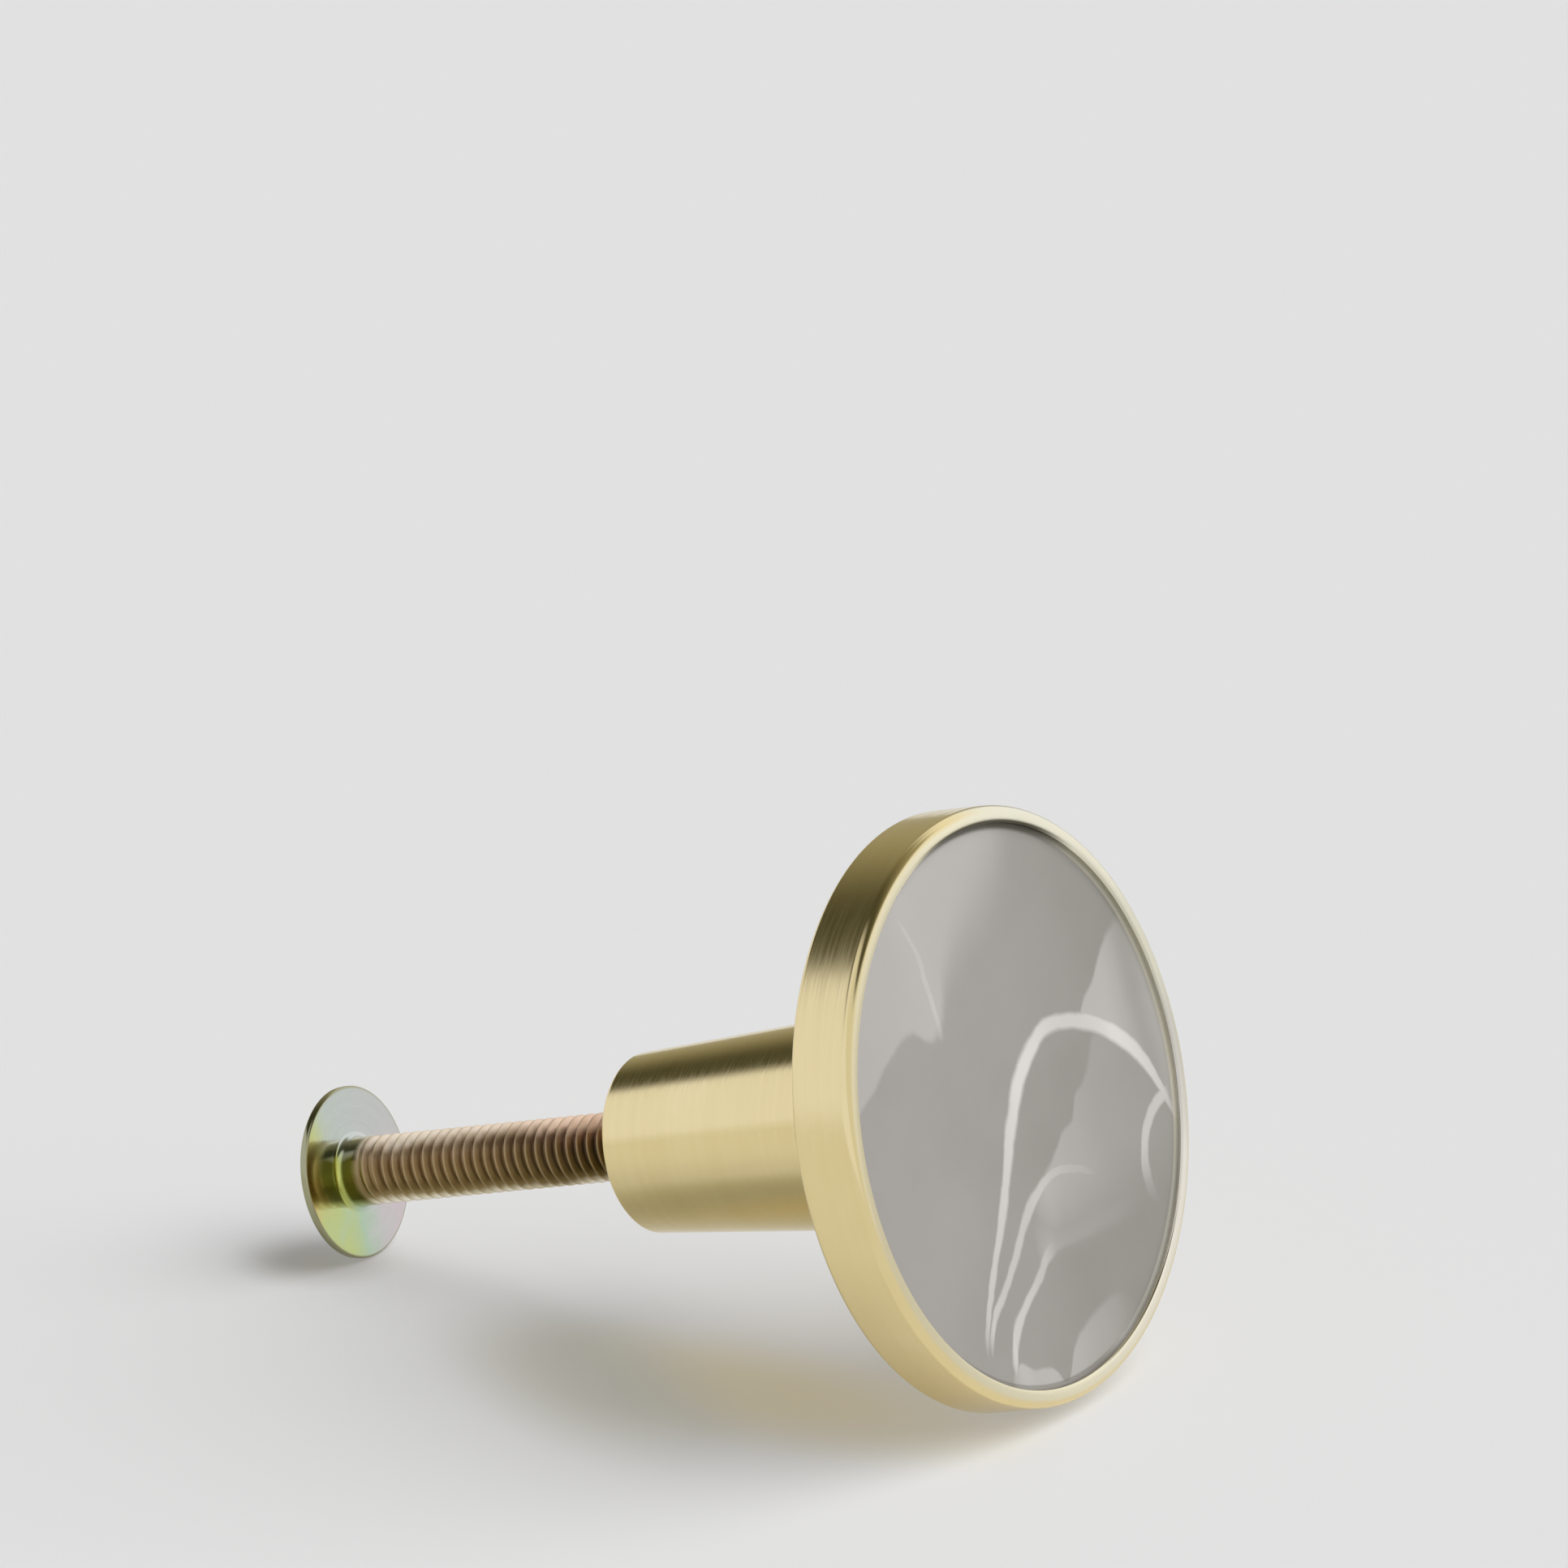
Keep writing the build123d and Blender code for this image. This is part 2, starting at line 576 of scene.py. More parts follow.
# Painted shade along the line between the resin and the lip, dark along the top of the disc and fainter
# along its bottom: the way to it over the disc as x and z, and how it darkens along that way
painted_crease_shade_colour = (62, 54, 32)
shade_under_top_lip = ((0.21, 0.98), (13.2, 15.2, 0.0, 0.95))
shade_along_bottom_lip = ((-0.26, -0.97), (12.5, 14.5, 0.0, 0.55))


def painted_crease_shading(tree, parts, way, darkening):
    """How dark the painted shade at the line between the resin and the lip is at a place."""
    way_x, way_z = way
    distance = calculate(tree, "MULTIPLY_ADD", parts["X"], way_x, product(tree, parts["Z"], way_z))
    return ramp(tree, distance, *darkening)


# Brass: its tones, and how bands and clouds share in them
brass_tones = ((235, 215, 157), (244, 226, 173))
brass_bands_share = 0.7
brass_clouds_share = 0.3
brass_clouds_scale = 0.18
brass_fineness = 9.0
brass_mark_strength = 0.25
brass_roughness = (0.12, 0.2)

# The stem is smoother than the head: where that begins, and its share of the head's roughness
stem_finish_begins = (-0.3, 1.0)
stem_roughness_share = (1.0, 0.72)

# The flat of the lip, golden at its left and pale at its right in a painted reflection, and where its colour
# ends behind the front and outwards
painted_reflection_lip_tones = (
    (0.0, (224, 213, 176)), (0.5, (245, 237, 208)), (0.93, (252, 246, 234)), (0.985, (222, 218, 208)),
)
lip_ends_behind = (0.1, 0.45)
lip_ends_outwards = (-0.05, 0.3)

# A painted highlight on the lip's outer edge, at its upper right
painted_edge_highlight = (240, 236, 214)
edge_highlight_ends_behind = (0.35, 0.6)
edge_highlight_up_right = (15.5, 20.0)

# Painted shade on the lip's inner edge, which darkens it towards the resin, and a little at its right
inner_edge_ends = (0.1, 0.28)
inner_edge_right_shade = (9.0, 13.0, 0.0, 0.2)


def lip_colours(tree, parts, brass):
    """The brass with the lip's painted reflection, painted highlight and painted shade over it."""
    radius = from_axis(tree, parts)
    near_front = fade(tree, parts["Y"], head_front, lip_ends_behind, falling)
    on_flat = fade(tree, radius, head_radius - lip_outer_round, lip_ends_outwards, falling)
    to_right = ramp(tree, parts["X"], -head_radius / mm, head_radius / mm, smooth=False)
    lip = colour_ramp(tree, to_right, painted_reflection_lip_tones)
    colour = blend_colours(tree, product(tree, near_front, on_flat), brass, lip)

    on_edge = fade(tree, parts["Y"], head_front, edge_highlight_ends_behind, falling)
    up_right = ramp(tree, calculate(tree, "ADD", parts["X"], parts["Z"]), *edge_highlight_up_right)
    colour = laid_over(tree, product(tree, on_edge, up_right), colour, painted_edge_highlight)

    inner_edge = fade(tree, radius, pocket_radius, inner_edge_ends, falling)
    shade = largest(
        tree,
        painted_crease_shading(tree, parts, *shade_under_top_lip),
        ramp(tree, parts["X"], *inner_edge_right_shade),
    )
    return laid_over(tree, product(tree, inner_edge, near_front, shade), colour, painted_crease_shade_colour)


def brushed_brass():
    """Turned brass, brushed round its axis: reflections stay sharp round it and spread along it."""
    material, tree, shader = new_material(
        "brushed_brass", metallic=1.0, anisotropic=0.75, anisotropic_rotation=0.25,
    )
    tangent = add_node(tree, "ShaderNodeTangent", direction_type="RADIAL", axis="Y")
    tree.links.new(tangent.outputs["Tangent"], shader.inputs["Tangent"])
    place = millimetres(tree)
    parts = split(tree, place)
    grain = use_group(tree, turned_grain, Place=place, Fineness=brass_fineness)
    cloud = use_group(tree, clouds, Place=place, Scale=brass_clouds_scale)["Cloud"]
    clouded = product(tree, cloud, brass_clouds_share)
    tone = calculate(tree, "MULTIPLY_ADD", grain["Bands"], brass_bands_share, clouded)
    brass = blend_colours(tree, tone, *[display_colour(*colour) for colour in brass_tones])
    tree.links.new(lip_colours(tree, parts, brass), shader.inputs["Base Color"])

    marks = ramp(tree, grain["Marks"], *noise_middle, *brass_roughness)
    share = fade(tree, parts["Y"], head_back, stem_finish_begins, stem_roughness_share)
    tree.links.new(product(tree, marks, share), shader.inputs["Roughness"])
    engrave(tree, shader, grain["Marks"], brass_mark_strength)
    return material


# Veins of the resin: x and z on the disc in millimetres, half height along z, and brightness
main_arch = (
    (-8.4, -11.6, 0.5, 0.0), (-7.6, -10.2, 0.5, 0.55), (-6.5, -8.5, 0.55, 0.65), (-5.0, -6.5, 0.6, 0.7),
    (-3.5, -4.5, 0.8, 0.75), (-1.5, -1.35, 1.0, 0.85), (0.5, 1.2, 0.9, 1.0), (2.75, 2.8, 0.65, 0.95),
    (4.75, 3.3, 0.55, 0.8), (6.75, 2.9, 0.55, 0.75), (9.25, 1.9, 0.7, 0.85), (10.5, 1.1, 0.8, 1.0),
    (11.75, 0.1, 0.85, 0.95), (12.75, -1.1, 0.85, 0.85), (13.5, -2.4, 0.8, 0.75), (14.1, -3.7, 0.7, 0.6),
    (14.7, -5.2, 0.6, 0.0),
)
second_vein = (
    (-8.0, -11.7, 0.4, 0.0), (-7.3, -10.7, 0.45, 0.6), (-6.5, -9.75, 0.45, 0.65), (-5.25, -8.9, 0.4, 0.6),
    (-4.0, -7.9, 0.45, 0.6), (-2.75, -6.75, 0.5, 0.6), (-1.5, -5.6, 0.55, 0.6), (-0.25, -4.9, 0.45, 0.65),
    (1.0, -4.45, 0.4, 0.6), (2.25, -4.3, 0.35, 0.5), (3.5, -4.55, 0.35, 0.4), (5.0, -5.1, 0.35, 0.3),
    (6.5, -5.75, 0.4, 0.0),
)
third_vein = (
    (-6.2, -13.3, 0.6, 0.0), (-5.75, -12.5, 0.7, 0.75), (-5.25, -11.5, 0.7, 0.7), (-4.25, -10.6, 0.45, 0.7),
    (-3.0, -9.9, 0.4, 0.65), (-1.75, -9.1, 0.45, 0.55), (-0.5, -8.3, 0.5, 0.45), (0.8, -8.0, 0.6, 0.0),
)

# A faint vein that runs up the disc: z and x, half width, and brightness
rising_vein = (
    (5.4, -5.6, 0.3, 0.0), (6.5, -5.5, 0.3, 0.5), (8.25, -5.75, 0.35, 0.55), (10.75, -6.1, 0.3, 0.5),
    (12.25, -6.75, 0.3, 0.45), (13.8, -7.5, 0.3, 0.0),
)

# Paler fields of the resin: the edge of each as x and z, how softly it begins, and its brightness
upper_field = (
    (-15.5, 3.6, 0.5, 0.28), (-13.75, 4.25, 0.5, 0.28), (-10.5, 5.9, 0.5, 0.3), (-8.25, 6.5, 0.6, 0.32),
    (-6.5, 5.6, 0.6, 0.36), (-5.5, 5.9, 1.0, 0.36), (-4.0, 7.75, 3.0, 0.35), (-1.5, 9.25, 5.0, 0.34),
    (1.0, 10.5, 6.0, 0.33), (4.0, 13.0, 6.0, 0.28), (6.5, 16.0, 6.0, 0.0),
)
right_field = (
    (7.0, 2.0, 0.4, 0.42), (8.1, 3.4, 0.4, 0.42), (9.75, 4.5, 0.4, 0.42), (10.5, 5.25, 0.4, 0.42),
    (11.75, 6.25, 0.5, 0.32), (13.4, 7.0, 0.8, 0.14), (14.3, 7.2, 1.0, 0.22), (15.5, 7.6, 1.5, 0.4),
)
inner_field = (
    (-1.0, -5.4, 0.4, 0.0), (0.5, -4.25, 0.5, 0.35), (2.0, -3.5, 0.5, 0.33), (3.5, -2.4, 0.4, 0.28),
    (4.75, -2.0, 0.4, 0.25), (5.5, -0.9, 0.4, 0.22), (6.5, -0.4, 0.5, 0.18), (7.5, 0.5, 0.6, 0.15),
    (9.0, 1.9, 0.8, 0.12), (13.0, -1.0, 1.0, 0.08),
)
lower_field = (
    (-1.5, -9.4, 0.3, 0.0), (-0.5, -8.6, 0.4, 0.25), (1.0, -8.5, 0.5, 0.18), (3.0, -8.6, 0.7, 0.14),
    (6.0, -8.8, 1.0, 0.1), (9.0, -8.6, 1.5, 0.05),
)
bottom_field = (
    (-6.6, -14.2, 0.2, 0.0), (-5.75, -13.0, 0.3, 0.38), (-4.0, -13.7, 0.3, 0.38), (-2.5, -14.1, 0.3, 0.4),
    (-1.4, -15.1, 0.3, 0.38), (-0.9, -14.7, 0.3, 0.36), (0.0, -13.6, 0.4, 0.34), (1.5, -12.8, 0.5, 0.27),
    (4.5, -12.1, 0.6, 0.14), (5.6, -12.2, 0.8, 0.06), (7.0, -13.6, 0.8, 0.0),
)
above = 1
below = -1

# The soft sides of veins, in half heights, and of fields, in their own softness
vein_side = (0.45, 1.15, 1.0, 0.0)
field_side = (-0.3, 0.7)

# Where fields end at another one: over the arch, at the foot of the inner field, at the top of the lower one
over_arch = (0.0, 0.5)
inner_field_foot = (-9.5, -4.0)
lower_field_top = (-5.0, -8.6)

# The curl at the foot of the main arch, part of a circle: its side, and its lower and upper ends
curl_middle = (14.3, -7.2)
curl_radius = 3.8
curl_side = (0.21, 0.504, 1.0, 0.0)
curl_lower_end = (-1.8, 2.2, 0.0, 0.65)
curl_upper_end = (-0.6, 0.6, 1.0, 0.0)


def point_curves(tree, along, points):
    """The curves of a vein or a field along its run: line, width or softness, and brightness."""
    return [smooth_curve(tree, along, [(point[0], point[part]) for point in points]) for part in (1, 2, 3)]


def vein(tree, along, across, points):
    """How much of a vein shows at a place: a line with soft sides, of varying width and brightness."""
    line, half_height, brightness = point_curves(tree, along, points)
    offset = calculate(tree, "ABSOLUTE", calculate(tree, "SUBTRACT", across, line))
    near = ramp(tree, calculate(tree, "DIVIDE", offset, half_height), *vein_side)
    return calculate(tree, "MULTIPLY", near, brightness, clamp=True)


def field(tree, along, across, points, side):
    """How much of a field shows at a place: it begins at its line and goes on above or below it."""
    line, softness, brightness = point_curves(tree, along, points)
    offset = product(tree, calculate(tree, "SUBTRACT", across, line), side)
    within = ramp(tree, calculate(tree, "DIVIDE", offset, softness), *field_side)
    return calculate(tree, "MULTIPLY", within, brightness, clamp=True)


def curl(tree, along, across):
    """How much of the curl shows at a place: it fades from the arch's foot to its own end."""
    middle_x, middle_z = curl_middle
    right = calculate(tree, "SUBTRACT", along, middle_x)
    up = calculate(tree, "SUBTRACT", across, middle_z)
    distance = measure(tree, "LENGTH", joined(tree, X=right, Y=up))
    from_line = calculate(tree, "ABSOLUTE", calculate(tree, "SUBTRACT", distance, curl_radius))
    near = ramp(tree, from_line, *curl_side)
    return product(tree, near, ramp(tree, up, *curl_lower_end), ramp(tree, right, *curl_upper_end))


def veins_and_fields(tree, along, across):
    """How pale the resin is at a place."""
    arch_line = smooth_curve(tree, along, [point[:2] for point in main_arch])
    above_arch = ramp(tree, calculate(tree, "SUBTRACT", across, arch_line), *over_arch)
    below_arch = calculate(tree, "SUBTRACT", 1.0, above_arch)
    above_foot = ramp(tree, across, *inner_field_foot)
    below_top = ramp(tree, across, *lower_field_top)
    return largest(
        tree,
        vein(tree, along, across, main_arch),
        vein(tree, along, across, second_vein),
        vein(tree, along, across, third_vein),
        vein(tree, across, along, rising_vein),
        curl(tree, along, across),
        field(tree, along, across, upper_field, above),
        product(tree, field(tree, along, across, right_field, below), above_arch),
        product(tree, field(tree, along, across, inner_field, below), below_arch, above_foot),
        product(tree, field(tree, along, across, lower_field, above), below_top),
        field(tree, along, across, bottom_field, below),
    )


# Resin: its darker and lighter grey, and how they change from the upper left to the lower right
resin_tones = ((132, 129, 123), (151, 147, 142))
resin_fall = -0.4
resin_lightness = (-10.0, 12.0, 0.7, 0.0)
resin_clouds_share = 0.3
resin_clouds_scale = 0.12
resin_speckle_scale = 1.5
resin_roughness = (0.28, 0.36)
vein_pale = (206, 203, 199)

# How far the veins were drawn out of their lines, and by how much they all lie off, as x and z
swirl_scale = 0.6
swirl_detail = 3.0
swirl_reach = 0.4
vein_shift = (0.2, -0.1)

# Painted light on the thin edge of the resin, pale and warm, strongest at the right and weaker below
thin_edge_painted_light = (222, 216, 190)
thin_begins = (-0.3, -0.12)
painted_light_at_right = (4.0, 12.0, 0.0, 0.7)
painted_light_from_below = (-9.0, -2.0, 0.35, 1.0)
# Where the painted shade along the lip begins on the resin, at the top and at the bottom
top_shade_begins = (-0.45, -0.15)
bottom_shade_begins = (-0.35, -0.2)


def drawn_place(tree, place):
    """The place x and z among the veins, which were drawn through the resin while it was soft."""
    inputs = {"Vector": place, "Scale": swirl_scale, "Detail": swirl_detail}
    swirl = add_node(tree, "ShaderNodeTexNoise", inputs).outputs["Color"]
    centred = combine_vectors(tree, "SUBTRACT", swirl, noise_centre)
    parts = split(tree, combine_vectors(tree, "ADD", place, scaled(tree, centred, swirl_reach)))
    shift_x, shift_z = vein_shift
    return calculate(tree, "SUBTRACT", parts["X"], shift_x), calculate(tree, "SUBTRACT", parts["Z"], shift_z)


def resin_edge(tree, parts, marbled):
    """The marbled resin with painted light over its thin edge, and painted shade along the lip."""
    radius = from_axis(tree, parts)
    edge_light_share = product(
        tree,
        fade(tree, radius, pocket_radius, thin_begins),
        ramp(tree, parts["X"], *painted_light_at_right),
        ramp(tree, parts["Z"], *painted_light_from_below),
    )
    colour = laid_over(tree, edge_light_share, marbled, thin_edge_painted_light)
    near_top = fade(tree, radius, pocket_radius, top_shade_begins)
    near_bottom = fade(tree, radius, pocket_radius, bottom_shade_begins)
    crease_shade_share = largest(
        tree,
        product(tree, painted_crease_shading(tree, parts, *shade_under_top_lip), near_top),
        product(tree, painted_crease_shading(tree, parts, *shade_along_bottom_lip), near_bottom),
    )
    return laid_over(tree, crease_shade_share, colour, painted_crease_shade_colour)


def marbled_resin():
    """Cast resin, warm grey, with pale veins and fields."""
    material, tree, shader = new_material("marbled_resin", ior=1.5)
    place = millimetres(tree)
    along, across = drawn_place(tree, place)
    pale = veins_and_fields(tree, along, across)
    cloud = use_group(tree, clouds, Place=place, Scale=resin_clouds_scale)["Cloud"]
    down_right = calculate(tree, "MULTIPLY_ADD", across, resin_fall, along)
    lightness = ramp(tree, down_right, *resin_lightness)
    tone = calculate(tree, "MULTIPLY_ADD", cloud, resin_clouds_share, lightness)
    body = blend_colours(tree, tone, *[display_colour(*colour) for colour in resin_tones])
    marbled = laid_over(tree, pale, body, vein_pale)
    tree.links.new(resin_edge(tree, split(tree, place), marbled), shader.inputs["Base Color"])

    speckle = use_group(tree, clouds, Place=place, Scale=resin_speckle_scale)["Cloud"]
    tree.links.new(ramp(tree, speckle, *rising, *resin_roughness), shader.inputs["Roughness"])
    return material


# The screw's thin film: its clouds, and how far they move the colours
film_clouds_scale = 0.3
head_film_drift = 2.0
shank_film_drift = 0.4

# Colours of the film across the head, from its left to its right, and over other parts of the head: a
# painted grey reflection over its upper half, and a painted highlight on the fillet at the left of the shank
head_film = (
    (0.0, (222, 210, 138)), (0.2, (206, 218, 150)), (0.4, (192, 216, 188)), (0.6, (212, 214, 210)),
    (0.82, (224, 211, 215)), (1.0, (212, 214, 208)),
)
head_film_span = (-4.0, 6.0)
painted_grey_reflection = (206, 210, 207)
above_shank = (-0.5, 2.5, 0.0, 0.8)
right_of_left_edge = (-3.6, -1.6)
film_on_edge = (168, 166, 132)
edge_begins = (-0.2, -0.05)
fillet_painted_highlight = (196, 204, 112)
fillet_ends = (-0.05, 0.1)
left_of_fillet = (-1.9, -0.9, 1.0, 0.0)
head_film_begins = (-0.4, -0.1)

# Colours of the film from the underside of the shank to its top: far from the stem, by it, and on the neck.
# Their pale ends are painted highlights, and the darker colours by the stem are painted shade.
film_of_shank_with_highlights = (
    (0.0, (255, 250, 236)), (0.06, (236, 226, 196)), (0.15, (164, 144, 98)), (0.24, (144, 121, 77)),
    (0.6, (142, 118, 80)), (0.72, (150, 126, 92)), (0.84, (178, 154, 124)), (0.95, (222, 208, 190)),
)
shank_shaded_film_by_stem = (
    (0.0, (250, 244, 228)), (0.05, (200, 188, 158)), (0.13, (116, 102, 68)), (0.24, (88, 76, 43)),
    (0.6, (76, 60, 40)), (0.72, (82, 60, 43)), (0.83, (120, 84, 64)), (0.94, (236, 198, 172)),
)
film_of_neck_with_highlights = (
    (0.0, (214, 208, 160)), (0.14, (104, 96, 42)), (0.78, (104, 96, 42)), (0.95, (226, 220, 196)),
)
shank_film_span = (-1.7, 2.1)
by_stem = (0.0, 14.0, 1.0, 0.0)
neck_begins = (-0.3, 0.3)
pale_crest = (200, 176, 138)
crest_begins = (-0.09, -0.01)
crest_paleness = (0.0, 0.4)

# The shank is less metallic along its top, and the thread is rougher than the neck and the head
bare_metal = (0.72, 0.95, 1.0, 0.35)
zinc_fineness = 6.0
zinc_mark_strength = 0.1
zinc_roughness = (0.08, 0.15)
thread_roughness = 0.2


def head_film_colour(tree, parts, film):
    """The film over the screw's head, with a painted reflection over its upper half and a painted highlight
    on the fillet.
    """
    radius = from_axis(tree, parts)
    drifted = calculate(tree, "MULTIPLY_ADD", film, head_film_drift, parts["X"])
    colour = colour_ramp(tree, ramp(tree, drifted, *head_film_span, smooth=False), head_film)
    reflection_share = product(
        tree,
        ramp(tree, parts["Z"], *above_shank),
        ramp(tree, parts["X"], *right_of_left_edge),
    )
    colour = laid_over(tree, reflection_share, colour, painted_grey_reflection)
    on_edge = fade(tree, radius, screw_head_radius, edge_begins)
    colour = laid_over(tree, on_edge, colour, film_on_edge)
    round_neck = fade(tree, radius, shank_radius + neck_fillet, fillet_ends, falling)
    fillet_highlight_share = product(tree, round_neck, ramp(tree, parts["X"], *left_of_fillet))
    return laid_over(tree, fillet_highlight_share, colour, fillet_painted_highlight)


def shank_film_colour(tree, parts, over_shank, on_neck):
    """The film over the screw's shank, with painted highlights, painted shade by the stem, and paler along
    the crest of its thread.
    """
    near_stem = ramp(tree, parts["Y"], *by_stem)
    on_crest = fade(tree, from_axis(tree, parts), shank_radius, crest_begins, crest_paleness)
    colour = colour_ramp(tree, over_shank, film_of_shank_with_highlights)
    colour = blend_colours(tree, near_stem, colour, colour_ramp(tree, over_shank, shank_shaded_film_by_stem))
    colour = laid_over(tree, on_crest, colour, pale_crest)
    return blend_colours(tree, on_neck, colour, colour_ramp(tree, over_shank, film_of_neck_with_highlights))


def yellow_zinc():
    """Zinc plating with a yellow passivation: its film runs from yellow to pink over the head.

    The shank is browner, and darkest near the stem, where its shade is painted.
    """
    material, tree, shader = new_material("yellow_zinc")
    place = millimetres(tree)
    parts = split(tree, place)
    film = use_group(tree, clouds, Place=place, Scale=film_clouds_scale)["Cloud"]
    drifted = calculate(tree, "MULTIPLY_ADD", film, shank_film_drift, parts["Z"])
    over_shank = ramp(tree, drifted, *shank_film_span, smooth=False)
    on_neck = fade(tree, parts["Y"], thread_end, neck_begins)
    on_head = fade(tree, parts["Y"], screw_head_seat, head_film_begins)
    shank = shank_film_colour(tree, parts, over_shank, on_neck)
    head = head_film_colour(tree, parts, film)
    tree.links.new(blend_colours(tree, on_head, shank, head), shader.inputs["Base Color"])
    bare = largest(tree, ramp(tree, over_shank, *bare_metal), on_neck)
    tree.links.new(bare, shader.inputs["Metallic"])

    grain = use_group(tree, turned_grain, Place=place, Fineness=zinc_fineness)
    marks = ramp(tree, grain["Marks"], *noise_middle, *zinc_roughness)
    on_thread = calculate(tree, "SUBTRACT", 1.0, on_neck)
    roughness = calculate(tree, "MULTIPLY_ADD", on_thread, thread_roughness, marks)
    tree.links.new(roughness, shader.inputs["Roughness"])
    engrave(tree, shader, grain["Marks"], zinc_mark_strength)
    return material


# The floor, on which the head's back edge and the edge of the screw's head rest
head_contact = Vector((0, head_back, -head_radius))
screw_contact = Vector((0, screw_head_rim, -screw_head_radius))
floor_along = (screw_contact - head_contact).normalized()
floor_across = Vector((1, 0, 0))
floor_up = floor_across.cross(floor_along)
floor_reach = 1.2
floor_segments = 128
floor_level = 0.753
shadowed_share = 0.61

# Oval patches of the floor: the warm light that the brass throws beside the head, the deepest part of
# the head's shadow, and that of the screw head's shadow. Each has a colour, a middle and a reach in
# millimetres, and a bearing.
floor_patches = (
    ((0.753, 0.69, 0.53, 1.0), (-7.0, 13.0), (9.5, 21.0), 0.0),
    ((0.605, 0.60, 0.54, 1.0), (-10.6, 22.2), (17.0, 8.5), radians(55)),
    ((0.55, 0.53, 0.505, 1.0), (-2.4, 45.4), (5.5, 5.5), 0.0),
)
patch_side = (0.1, 1.0, 1.0, 0.0)


def near_oval(tree, place, middle, reach, bearing):
    """How near a place on the floor is to the middle of an oval: 1 there, and 0 at the oval's edge."""
    inputs = {
        "Vector": place,
        "Location": (*middle, 0),
        "Rotation": (0, 0, bearing),
        "Scale": (*reach, 1),
    }
    offset = add_node(tree, "ShaderNodeMapping", inputs, vector_type="TEXTURE").outputs["Vector"]
    return ramp(tree, measure(tree, "LENGTH", offset), *patch_side)


def pale_floor_material():
    """Plain pale card, part of which stays pale in shadow.

    Seen from beneath it isn't there, so that views from below stay clear.
    """
    material, tree, shader = new_material("pale_floor", roughness=0.9, specular_ior_level=0.1)
    place = millimetres(tree)
    card = grey(floor_level)
    for colour, *oval in floor_patches:
        card = blend_colours(tree, near_oval(tree, place, *oval), card, colour)
    tree.links.new(scaled(tree, card, shadowed_share), shader.inputs["Base Color"])
    tree.links.new(card, shader.inputs["Emission Color"])
    rays = add_node(tree, "ShaderNodeLightPath").outputs
    seen = largest(tree, rays["Is Camera Ray"], rays["Is Glossy Ray"])
    tree.links.new(product(tree, seen, 1 - shadowed_share), shader.inputs["Emission Strength"])
    underside = add_node(tree, "ShaderNodeNewGeometry").outputs["Backfacing"]
    clear = add_node(tree, "ShaderNodeBsdfTransparent").outputs["BSDF"]
    either = add_node(tree, "ShaderNodeMixShader", {"Fac": underside, 1: shader.outputs["BSDF"], 2: clear})
    tree.links.new(either.outputs["Shader"], tree.nodes["Material Output"].inputs["Surface"])
    return material


def lay_floor():
    """A wide disc of pale card under the knob."""
    mesh_maker = bmesh.new()
    bmesh.ops.create_circle(mesh_maker, cap_ends=True, segments=floor_segments, radius=floor_reach)
    mesh = bpy.data.meshes.new("pale_floor")
    mesh_maker.to_mesh(mesh)
    mesh_maker.free()
    mesh.materials.append(pale_floor_material())
    floor = bpy.data.objects.new("pale_floor", mesh)
    turned = Matrix((floor_across, floor_along, floor_up)).transposed().to_4x4()
    floor.matrix_world = Matrix.Translation(head_contact) @ turned
    bpy.context.scene.collection.objects.link(floor)


# Light: a large soft lamp before the resin face, and an even fill
key_direction = Vector((0.345, -0.785, 0.515))
key_strength = 3.35
key_width = radians(66)
fill_level = 0.24

# What the brass mirrors, by direction: a pale sweep that rises from the floor behind the knob
sweep_edge = Vector((0.40, -0.70, 0.59)).normalized()
sweep_side = (-0.06, 0.025)
sweep_foot = (0.0, 0.14)
sweep_light = (0.87, 0.89, 1.0, 1.0)

# A dark gap over the knob's top edge, paler to the right, which leans over at the far back
gap_dark = (0.075, 0.072, 0.042, 1.0)
gap_light = (0.38, 0.355, 0.25, 1.0)
gap_paler = (0.1, 0.8)
gap_leans_from = 0.57
gap_lean = -2.4
gap_begins = (0.1, 0.35)

# An unlit ceiling and an unlit corner at the upper right
ceiling_begins = (0.6, 0.85)
ceiling_left_edge = (-0.4, 0.0)
dark_corner = Vector((0.3, -0.65, 0.7)).normalized()
dark_corner_side = (0.82, 0.93)

# A grey front before the face, from its left to its right
front_tones = (0.76, 0.95)
front_side = (0.38, 0.5)
front_span = (0.1, 0.7)


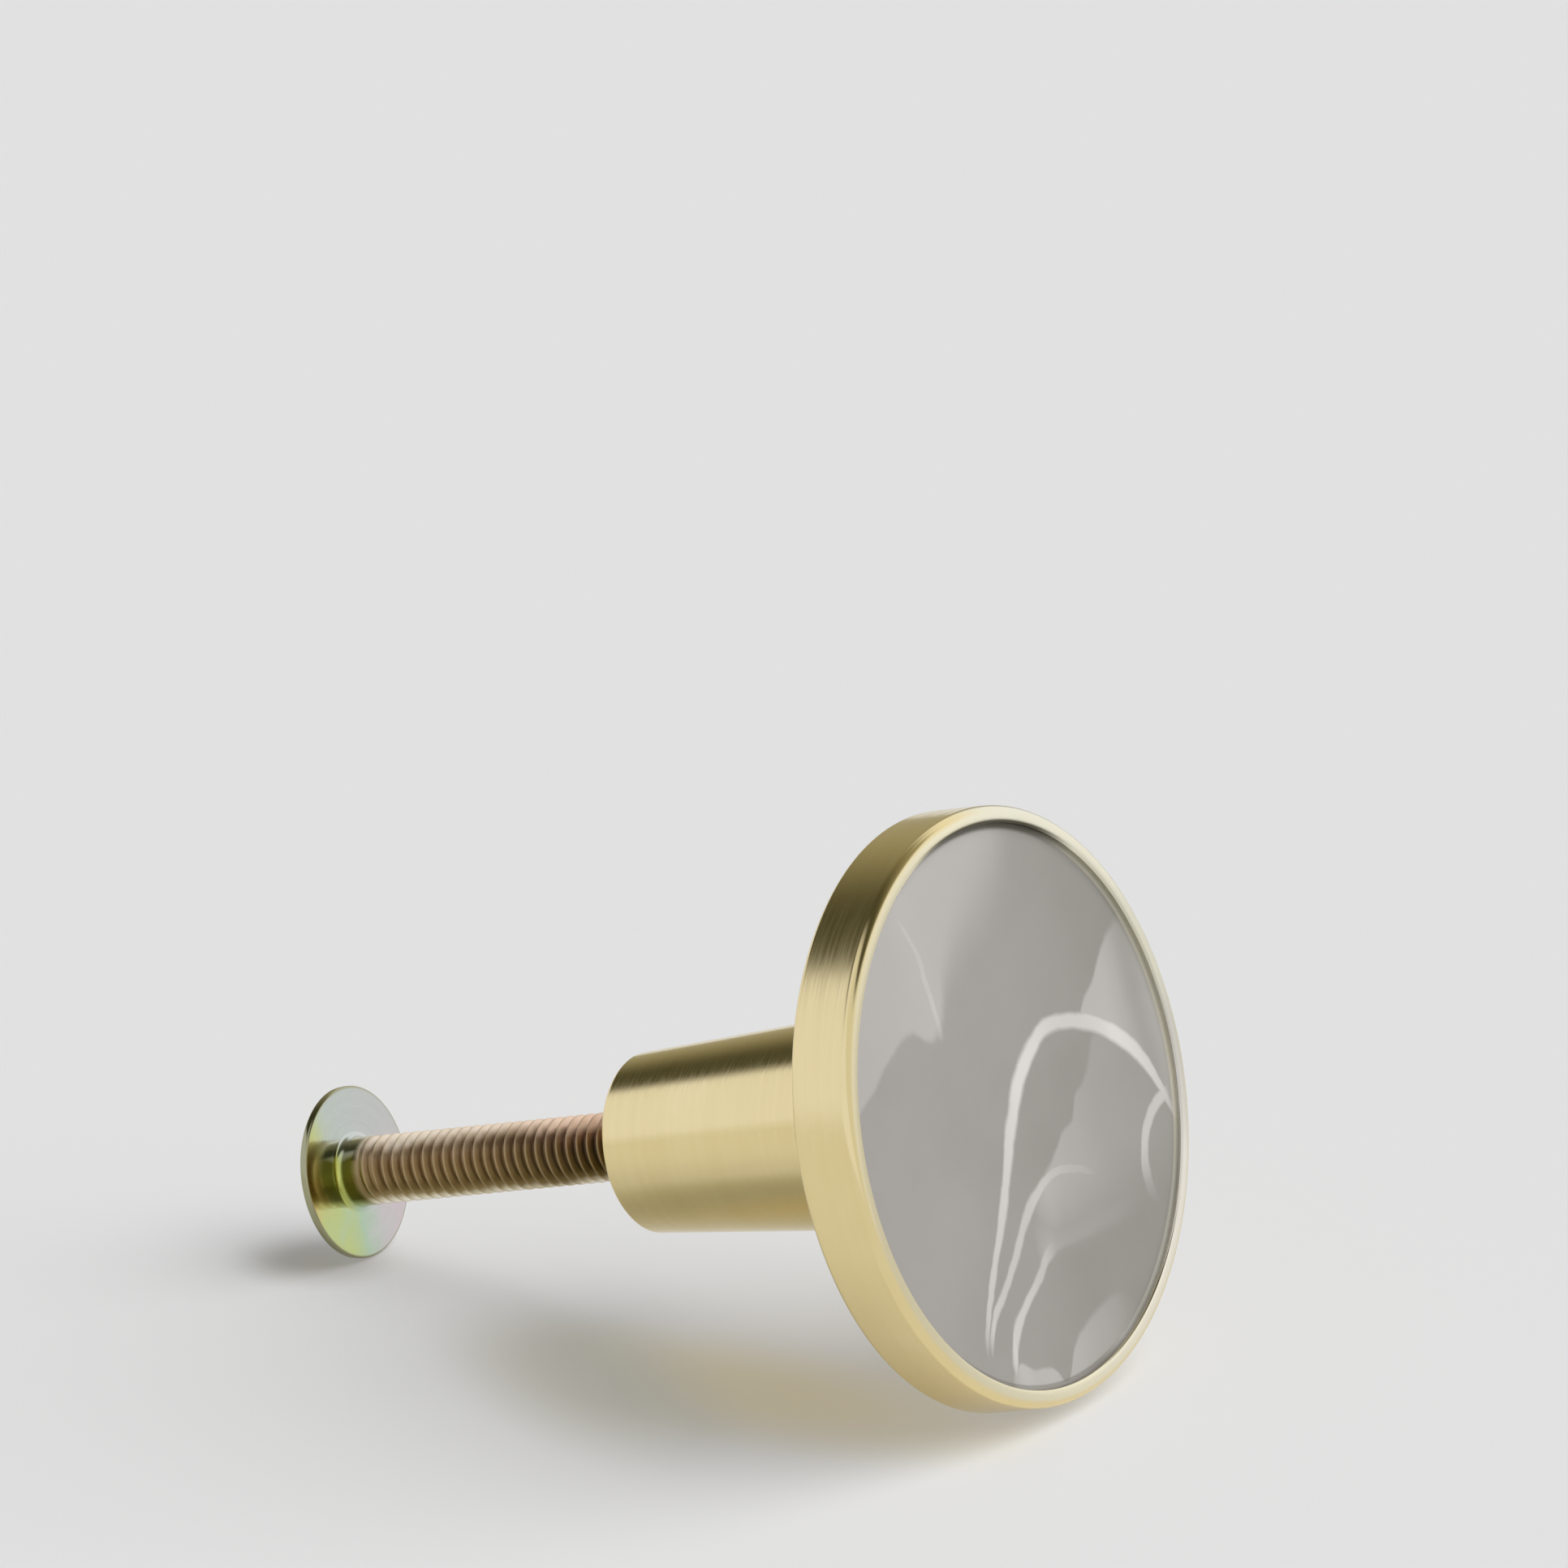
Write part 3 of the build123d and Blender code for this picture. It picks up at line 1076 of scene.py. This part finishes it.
def studio_reflections(tree):
    """The studio round the knob, as its brass mirrors it."""
    direction = add_node(tree, "ShaderNodeTexCoord").outputs["Generated"]
    parts = split(tree, direction)
    over = measure(tree, "DOT_PRODUCT", direction, sweep_edge)
    ceiling = product(
        tree,
        ramp(tree, parts["Z"], *ceiling_begins),
        ramp(tree, parts["X"], *ceiling_left_edge),
    )
    corner = ramp(tree, measure(tree, "DOT_PRODUCT", direction, dark_corner), *dark_corner_side)
    unlit = largest(tree, ceiling, corner)

    far_back = largest(tree, calculate(tree, "SUBTRACT", parts["Y"], gap_leans_from), 0.0)
    to_right = calculate(tree, "MULTIPLY_ADD", far_back, gap_lean, parts["X"])
    gap = blend_colours(tree, ramp(tree, to_right, *gap_paler), gap_dark, gap_light)
    over_top = largest(tree, ramp(tree, parts["Y"], *gap_begins), unlit)
    in_gap = product(tree, ramp(tree, over, *sweep_side), over_top)

    up_sweep = ramp(tree, measure(tree, "DOT_PRODUCT", direction, floor_up), *sweep_foot, smooth=False)
    sweep = blend_colours(tree, up_sweep, grey(floor_level), sweep_light)
    behind = blend_colours(tree, in_gap, sweep, gap)

    front_left, front_right = [grey(level) for level in front_tones]
    front = blend_colours(tree, ramp(tree, parts["X"], *front_span), front_left, front_right)
    lit = calculate(tree, "SUBTRACT", 1.0, unlit)
    before_face = product(tree, ramp(tree, over, *front_side), lit)
    return blend_colours(tree, before_face, behind, front)


def light_studio():
    """The world is an even fill, and for reflections the studio round the knob.

    The camera sees it as the floor's own colour.
    """
    world = bpy.data.worlds.new("studio")
    bpy.context.scene.world = world
    world.use_nodes = True
    tree = world.node_tree
    rays = add_node(tree, "ShaderNodeLightPath").outputs
    light = blend_colours(tree, rays["Is Glossy Ray"], grey(fill_level), studio_reflections(tree))
    colour = blend_colours(tree, rays["Is Camera Ray"], light, grey(floor_level))
    tree.links.new(colour, tree.nodes["Background"].inputs["Color"])


def hang_key_lamp():
    """The soft lamp. Reflections show the studio in its place."""
    lamp = bpy.data.lights.new("key_lamp", "SUN")
    lamp.energy = key_strength
    lamp.angle = key_width
    key = bpy.data.objects.new("key_lamp", lamp)
    key.rotation_mode = "QUATERNION"
    key.rotation_quaternion = key_direction.to_track_quat("Z", "Y")
    key.visible_glossy = False
    bpy.context.scene.collection.objects.link(key)


# The camera, by its height and bearing over the floor
camera_target = Vector((9.262, -7.664, 17.262)) * mm
camera_distance = 1118.4 * mm
camera_height_angle = radians(18.92)
camera_bearing = radians(-57.99)
camera_lens = 465.84


def place_camera():
    """A long lens, level with the floor."""
    level = cos(camera_height_angle)
    back = (
        floor_across * sin(camera_bearing) * level
        - floor_along * cos(camera_bearing) * level
        + floor_up * sin(camera_height_angle)
    )
    right = floor_up.cross(back).normalized()
    up = back.cross(right)
    data = bpy.data.cameras.new("camera")
    data.lens = camera_lens
    camera = bpy.data.objects.new("camera", data)
    turned = Matrix((right, up, back)).transposed().to_4x4()
    camera.matrix_world = Matrix.Translation(camera_target + back * camera_distance) @ turned
    bpy.context.scene.collection.objects.link(camera)
    bpy.context.scene.camera = camera


place_piece("turned_body", turned_body_mesh(), brushed_brass(), "knob_body")
place_piece("resin_disc", resin_disc_mesh(), marbled_resin(), "resin_inlay")
place_piece("machine_screw", machine_screw_mesh(), yellow_zinc(), "mounting_screw")
lay_floor()
light_studio()
hang_key_lamp()
place_camera()
bpy.context.scene.view_settings.view_transform = "Standard"
